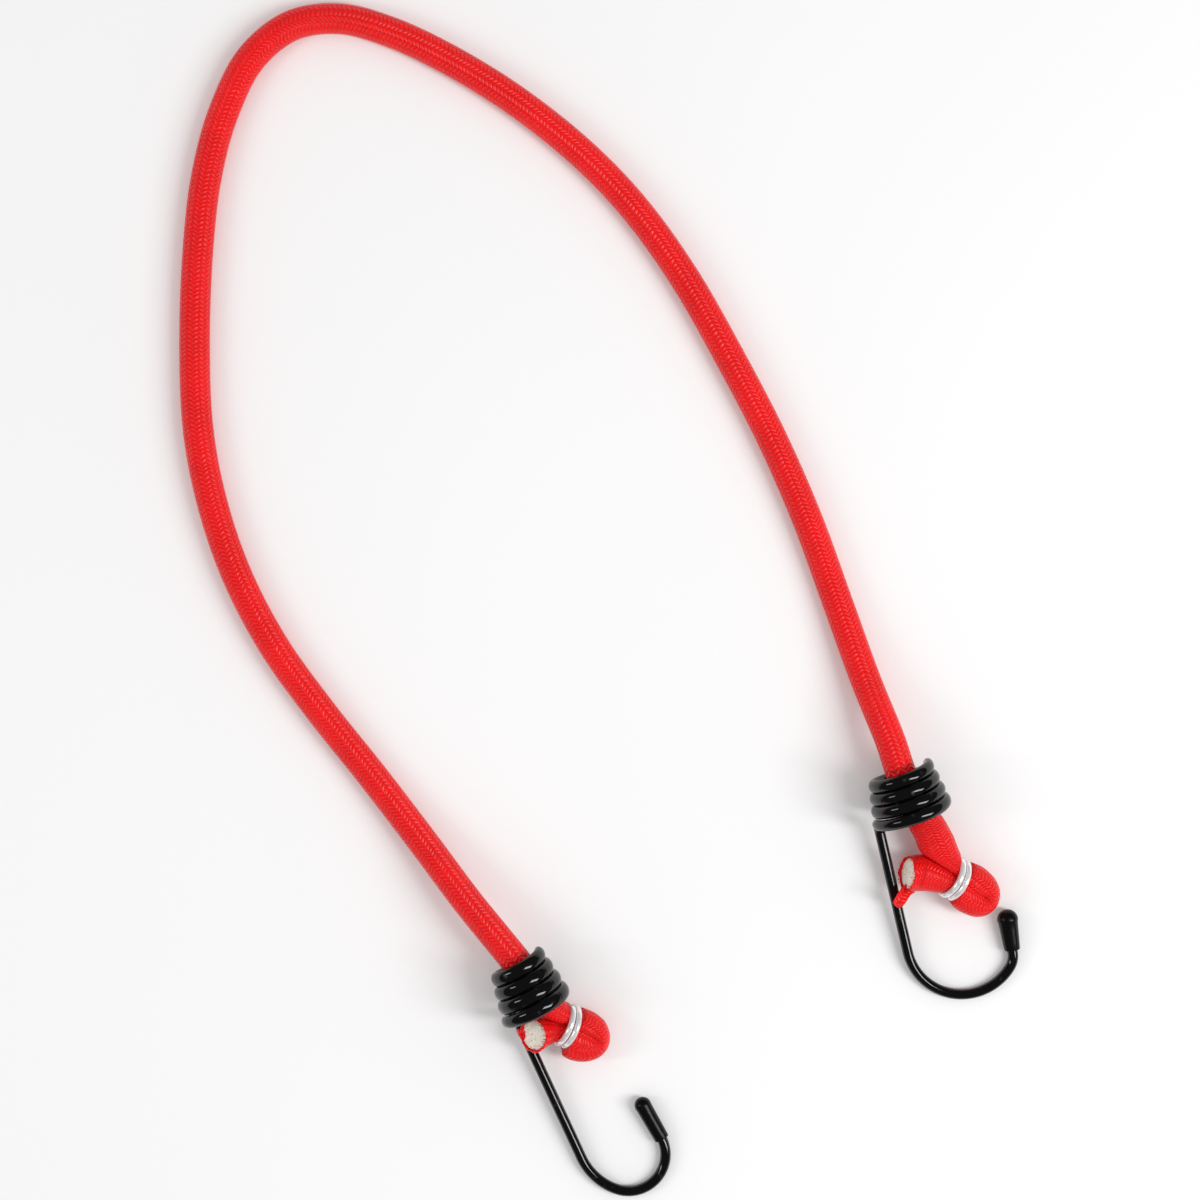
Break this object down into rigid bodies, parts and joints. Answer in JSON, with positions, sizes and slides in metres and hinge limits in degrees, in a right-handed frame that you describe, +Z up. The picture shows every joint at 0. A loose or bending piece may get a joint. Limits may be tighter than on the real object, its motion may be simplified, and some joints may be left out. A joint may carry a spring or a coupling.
{
  "type": "bungee cord",
  "caption": "Elastic cord in a braided sheath, with a coiled wire hook at each end. Each end of the cord is folded back through its hook and held by a wire ring. It ties down or bundles loads.",
  "frame": {"origin": "middle of the bottom of the box round the whole part as it lies, on the floor", "axes": "+Z up from the floor, +Y towards the top of the arch, hooks towards -Y, hook A left of hook B seen from above"},
  "size_m": [0.2484, 0.3523, 0.0243],
  "materials": {
    "sheath": "braided polyester yarn, red, slight sheen",
    "core": "bundle of pale rubber threads, matt",
    "hook_wire": "steel wire with gloss black coating",
    "tip_cap": "satin black vinyl",
    "clamp_ring": "bright zinc-plated steel wire"
  },
  "bodies": {
    "cord": {"sheath_end_a": "sheath", "core_end_a": "core", "clamp_ring_a": "clamp_ring", "sheath_main": "sheath", "core_main": "core", "sheath_leg_b": "sheath", "core_leg_b": "core"},
    "end_b": {"sheath_end_b": "sheath", "core_end_b": "core", "clamp_ring_b": "clamp_ring"},
    "hook_a": {"hook_a": "hook_wire", "tip_cap_a": "tip_cap"},
    "hook_b": {"hook_b": "hook_wire", "tip_cap_b": "tip_cap"}
  },
  "joints": [
    {"name": "stretch", "type": "slide", "parent": "cord", "child": "end_b", "axis": [0.284, -0.9588, 0], "range_m": [0, 0.3], "stiffness_N_per_m": 300, "deforming": ["sheath_leg_b", "core_leg_b"]},
    {"name": "hook_a_swivel", "type": "hinge", "parent": "cord", "child": "hook_a", "pos_m": [-0.0182, -0.1195, 0.01284], "axis": [0.398, -0.9153, -0.061], "range_deg": [-170, 10]},
    {"name": "hook_b_swivel", "type": "hinge", "parent": "end_b", "child": "hook_b", "pos_m": [0.0915, -0.0628, 0.01223], "axis": [0.2827, -0.9542, -0.0976], "range_deg": [-170, 85]}
  ]
}
